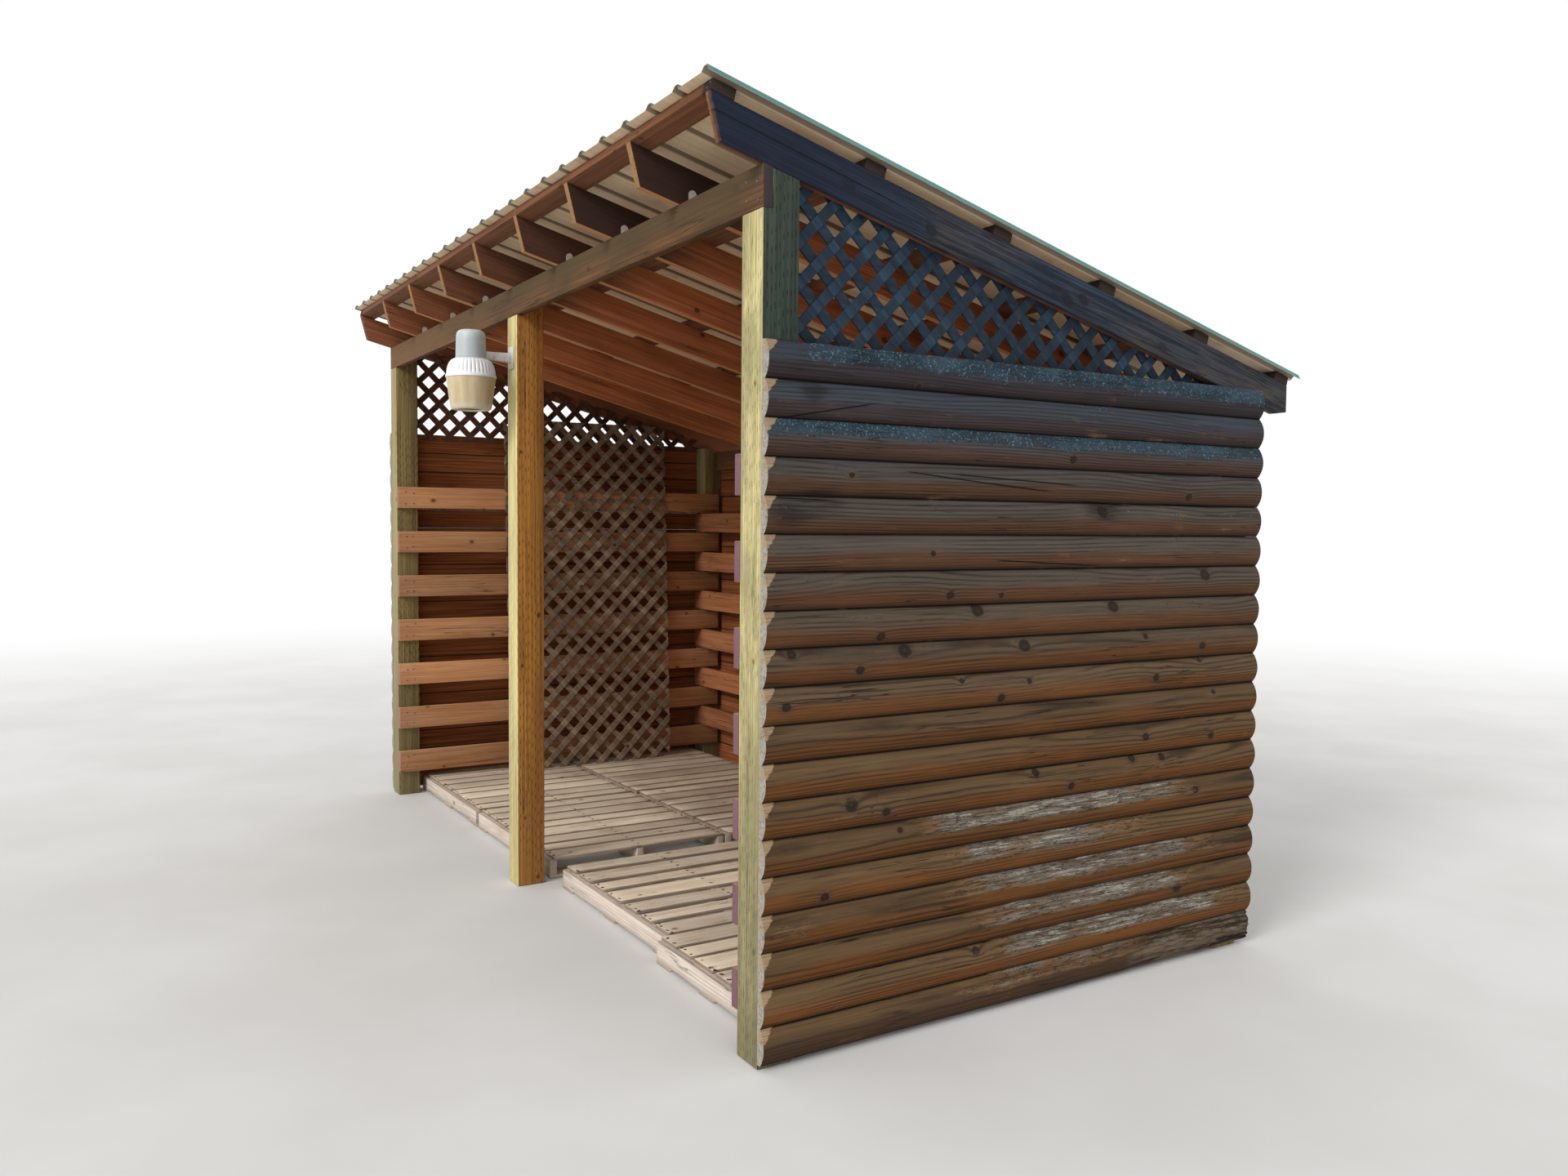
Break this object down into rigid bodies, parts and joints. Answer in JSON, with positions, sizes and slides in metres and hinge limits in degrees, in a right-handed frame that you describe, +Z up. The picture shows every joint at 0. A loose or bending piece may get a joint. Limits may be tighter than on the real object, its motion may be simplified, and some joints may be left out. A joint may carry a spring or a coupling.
{
  "type": "woodshed",
  "caption": "Open-fronted lean-to woodshed with half-log walls, lattice gables, a ribbed metal roof, a pallet floor and a yard lamp.",
  "frame": {"origin": "on the ground, under the middle of the whole shed's bounding box", "axes": "+X along the open front towards the right-hand side wall, +Y from the open front to the back wall, +Z up"},
  "size_m": [4.9686, 3.0702, 3.244],
  "materials": {
    "post_timber": "treated, rough sawn",
    "frame_timber": "weathered, sawn",
    "log_siding": "weathered stain",
    "lattice_wood": "dark stain",
    "inner_boards": "stained, sawn",
    "pallet_wood": "grey, weathered",
    "roof_metal": "ribbed, satin",
    "lamp_metal": "satin grey",
    "lamp_skirt": "white, fluted",
    "lamp_lens": "ivory, translucent",
    "zinc_steel": "galvanised"
  },
  "bodies": {
    "root": {"front_post_left": "post_timber", "back_post_left": "post_timber", "front_post_middle": "post_timber", "back_post_middle": "post_timber", "front_post_right": "post_timber", "back_post_right": "post_timber", "front_beam": "frame_timber", "back_beam": "frame_timber", "rafter_1": "frame_timber", "rafter_2": "frame_timber", "rafter_3": "frame_timber", "rafter_4": "frame_timber", "rafter_5": "frame_timber", "rafter_6": "frame_timber", "rafter_7": "frame_timber", "rafter_8": "frame_timber", "rafter_9": "frame_timber", "purlin_1": "frame_timber", "purlin_2": "frame_timber", "purlin_3": "frame_timber", "purlin_4": "frame_timber", "purlin_5": "frame_timber", "purlin_6": "frame_timber", "roof_sheet": "roof_metal", "right_wall_logs": "log_siding", "left_wall_logs": "log_siding", "back_wall_logs": "log_siding", "right_gable_lattice": "lattice_wood", "left_gable_lattice": "lattice_wood", "right_inner_boards": "inner_boards", "left_inner_boards": "inner_boards", "back_inner_boards": "inner_boards", "lattice_panel": "lattice_wood", "front_pallet_1": "pallet_wood", "front_pallet_2": "pallet_wood", "front_pallet_3": "pallet_wood", "front_pallet_4": "pallet_wood", "back_pallets": "pallet_wood", "lamp_arm": "lamp_metal", "lamp_cap": "lamp_metal", "lamp_skirt": "lamp_skirt", "lamp_lens": "lamp_lens", "rafter_ties": "zinc_steel"}
  },
  "joints": []
}
